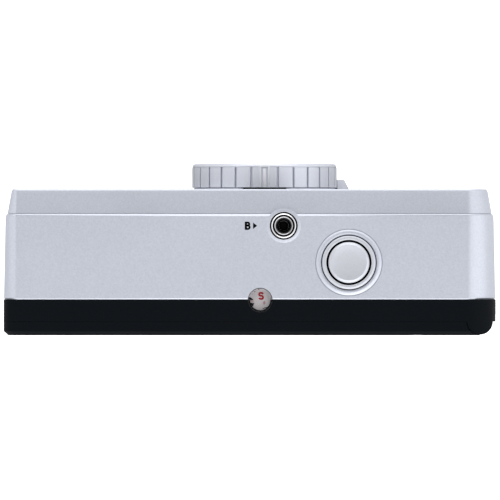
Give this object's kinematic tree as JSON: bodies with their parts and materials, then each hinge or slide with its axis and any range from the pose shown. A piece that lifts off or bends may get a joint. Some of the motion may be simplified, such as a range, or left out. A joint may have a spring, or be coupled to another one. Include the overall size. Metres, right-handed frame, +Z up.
{
  "type": "compact film camera",
  "caption": "Compact half-frame film camera with a ribbed lens ring, built-in flash, top shutter button and cable socket, thumb-wheel film advance, folding rewind crank and hinged rear door.",
  "frame": {"origin": "middle of the base, at the centre of the overall box in plan", "axes": "+Z up through the top deck, lens facing -Y, the shutter-button end towards -X"},
  "size_m": [0.11, 0.0384, 0.062],
  "materials": {
    "silver_paint": "fine metallic silver lacquer",
    "black_plastic": "fine semi-matt grain",
    "grip_rubber": "ribbed, matt",
    "foam": "soft matt foam",
    "ring_silver": "fine metallic silver lacquer, smooth",
    "steel": "lightly brushed",
    "dark_steel": "blackened",
    "lens_glass": "polished and coated",
    "flash_plastic": "clear prismatic plastic",
    "mirror": "polished",
    "tube_glass": "clear",
    "capacitor_sleeve": "shrink sleeve",
    "board": "solder mask",
    "lamp_red": "translucent",
    "battery_label": null,
    "dial_white": "printed dial",
    "gear_plastic": "moulded"
  },
  "bodies": {
    "camera": {"front_cover": "silver_paint", "front_panel": "silver_paint", "grip_panel": "grip_rubber", "main_body": "black_plastic", "hinge_pin": "steel", "latch_spring": "steel", "lens_barrel": "black_plastic", "lens_trim": "black_plastic", "front_lens": "lens_glass", "rear_lens": "lens_glass", "shutter_plate": "steel", "aperture_plate": "dark_steel", "blade_spring": "steel", "viewfinder_tunnel": "black_plastic", "viewfinder_window": "lens_glass", "eyepiece_lens": "lens_glass", "flash_window": "flash_plastic", "flash_reflector": "mirror", "flash_tube": "tube_glass", "flash_capacitor": "capacitor_sleeve", "circuit_board": "board", "ready_lamp": "lamp_red", "battery_holder": "black_plastic", "battery": "battery_label", "battery_contact": "steel", "button_collar": "ring_silver", "button_spring": "steel", "cable_socket": "steel", "socket_trim": "black_plastic", "counter_window": "lens_glass", "gear_plate": "steel", "tripod_socket": "steel", "strap_bar": "steel", "case_screws": "steel"},
    "door": {"back_door": "black_plastic", "door_seal": "foam", "pressure_plate": "steel", "pressure_spring": "steel"},
    "latch": {"door_latch": "black_plastic"},
    "flash_ring": {"mode_ring": "ring_silver"},
    "lever": {"filter_lever": "ring_silver"},
    "filter": {"filter_arm": "steel", "star_filter": "lens_glass"},
    "blade": {"shutter_blade": "dark_steel"},
    "release": {"release_lever": "steel"},
    "button": {"shutter_button": "ring_silver"},
    "plunger": {"cable_plunger": "steel"},
    "battery_lid": {"battery_door": "silver_paint", "battery_spring": "steel"},
    "counter": {"counter_dial": "dial_white"},
    "spool": {"take_up_spool": "black_plastic", "spool_gear": "gear_plastic", "advance_wheel": "black_plastic"},
    "idler": {"idler_gear": "gear_plastic"},
    "film_sprocket": {"sprocket": "black_plastic", "sprocket_gear": "gear_plastic"},
    "rewind": {"rewind_knob": "steel"},
    "crank": {"rewind_crank": "steel"},
    "grip": {"crank_grip": "black_plastic"},
    "rewind_button": {"rewind_release": "black_plastic"}
  },
  "joints": [
    {"name": "door_swing", "type": "hinge", "parent": "camera", "child": "door", "pos_m": [-0.0514, 0.0162, 0.03], "axis": [0, 0, 1], "range_deg": [0, 95]},
    {"name": "latch_slide", "type": "slide", "parent": "camera", "child": "latch", "axis": [0, 0, -1], "range_m": [0, 0.003], "stiffness_N_per_m": 150, "deforming": ["latch_spring"]},
    {"name": "ring_turn", "type": "hinge", "parent": "camera", "child": "flash_ring", "pos_m": [-0.0033, -0.016, 0.0305], "axis": [0, 1, 0], "range_deg": [0, 90]},
    {"name": "filter_lever_turn", "type": "hinge", "parent": "camera", "child": "lever", "pos_m": [-0.0033, -0.011, 0.0305], "axis": [0, -1, 0], "range_deg": [0, 28]},
    {"name": "filter_swing", "type": "hinge", "parent": "camera", "child": "filter", "pos_m": [-0.01433, -0.01, 0.04153], "axis": [0, -1, 0], "range_deg": [-44.8, 0]},
    {"name": "blade_open", "type": "hinge", "parent": "camera", "child": "blade", "pos_m": [0.0052, -0.006, 0.0245], "axis": [0, -1, 0], "range_deg": [0, 40]},
    {"name": "button_press", "type": "slide", "parent": "camera", "child": "button", "axis": [0, 0, -1], "range_m": [0, 0.0011], "stiffness_N_per_m": 250, "deforming": ["button_spring"]},
    {"name": "release_rock", "type": "hinge", "parent": "camera", "child": "release", "pos_m": [-0.0132, 0, 0.0556], "axis": [0, -1, 0], "range_deg": [0, 7.42]},
    {"name": "plunger_press", "type": "slide", "parent": "camera", "child": "plunger", "axis": [0, 0, -1], "range_m": [0, 0.0011], "stiffness_N_per_m": 60},
    {"name": "battery_door_swing", "type": "hinge", "parent": "camera", "child": "battery_lid", "pos_m": [0.0165, -0.003, 0.001], "axis": [-1, 0, 0], "range_deg": [0, 95]},
    {"name": "wheel_turn", "type": "hinge", "parent": "camera", "child": "spool", "pos_m": [-0.03733, 0.0065, 0.03], "axis": [0, 0, 1], "continuous": true},
    {"name": "idler_turn", "type": "hinge", "parent": "camera", "child": "idler", "pos_m": [-0.02786, 0.00732, 0.0524], "axis": [0, 0, 1], "continuous": true},
    {"name": "sprocket_turn", "type": "hinge", "parent": "camera", "child": "film_sprocket", "pos_m": [-0.0184, 0.00815, 0.03], "axis": [0, 0, 1], "continuous": true},
    {"name": "counter_turn", "type": "hinge", "parent": "camera", "child": "counter", "pos_m": [-0.0065, 0.00655, 0.058], "axis": [0, 0, 1], "continuous": true},
    {"name": "rewind_turn", "type": "hinge", "parent": "camera", "child": "rewind", "pos_m": [0.0376, 0.0039, 0.004], "axis": [0, 0, 1], "continuous": true},
    {"name": "crank_unfold", "type": "hinge", "parent": "rewind", "child": "crank", "pos_m": [0.0422, 0.0039, 0.001], "axis": [0, -1, 0], "range_deg": [0, 120]},
    {"name": "grip_spin", "type": "hinge", "parent": "crank", "child": "grip", "pos_m": [0.0346, 0.0039, 0.0015], "axis": [0, 0, 1], "continuous": true},
    {"name": "rewind_release_press", "type": "slide", "parent": "camera", "child": "rewind_button", "axis": [0, 0, 1], "range_m": [0, 0.0012], "stiffness_N_per_m": 80}
  ],
  "couplings": [
    {"joint": "filter_swing", "follows": "filter_lever_turn", "ratio": -1.6},
    {"joint": "release_rock", "follows": "button_press", "rad_per_m": 117.6},
    {"joint": "idler_turn", "follows": "wheel_turn", "ratio": -1.1111},
    {"joint": "sprocket_turn", "follows": "wheel_turn", "ratio": 1},
    {"joint": "counter_turn", "follows": "wheel_turn", "ratio": -0.026316}
  ]
}
